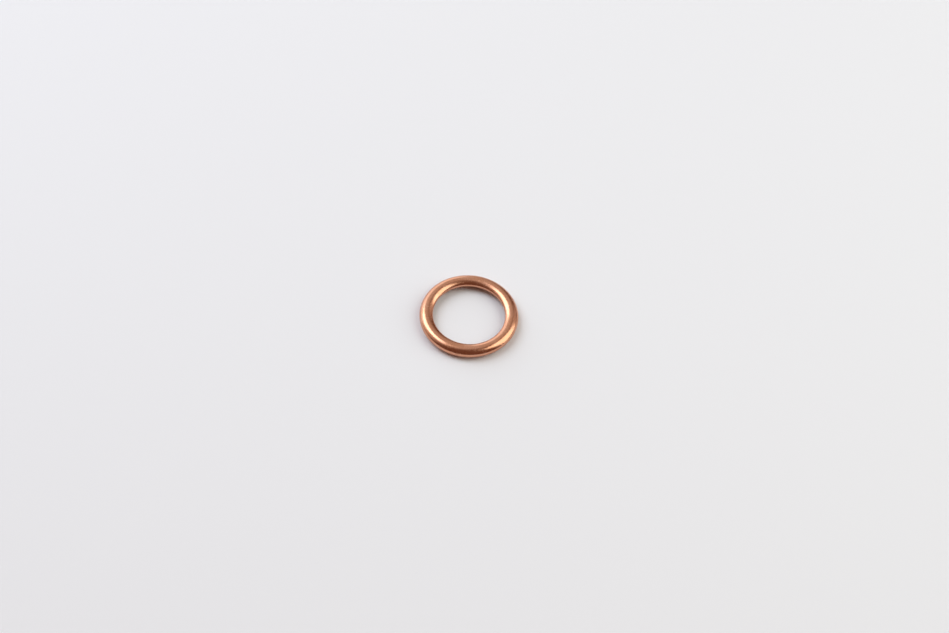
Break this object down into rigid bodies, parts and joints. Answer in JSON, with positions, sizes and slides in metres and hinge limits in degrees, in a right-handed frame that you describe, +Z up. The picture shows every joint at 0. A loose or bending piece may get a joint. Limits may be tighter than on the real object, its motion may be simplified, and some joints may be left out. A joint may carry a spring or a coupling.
{
  "type": "crush washer",
  "caption": "Round copper crush washer: a hollow ring rolled from strip, with crowned faces and an open seam in its hole, that flattens and seals under a tightened plug.",
  "frame": {"origin": "middle of the underside, on the ring's axis, in the plane that the washer rests on", "axes": "+Z up along the ring's axis, from the underside to the face that the picture shows; X and Y lie across the ring"},
  "size_m": [0.022, 0.022, 0.0025],
  "materials": {
    "copper": "satin"
  },
  "bodies": {
    "root": {"washer": "copper"}
  },
  "joints": []
}
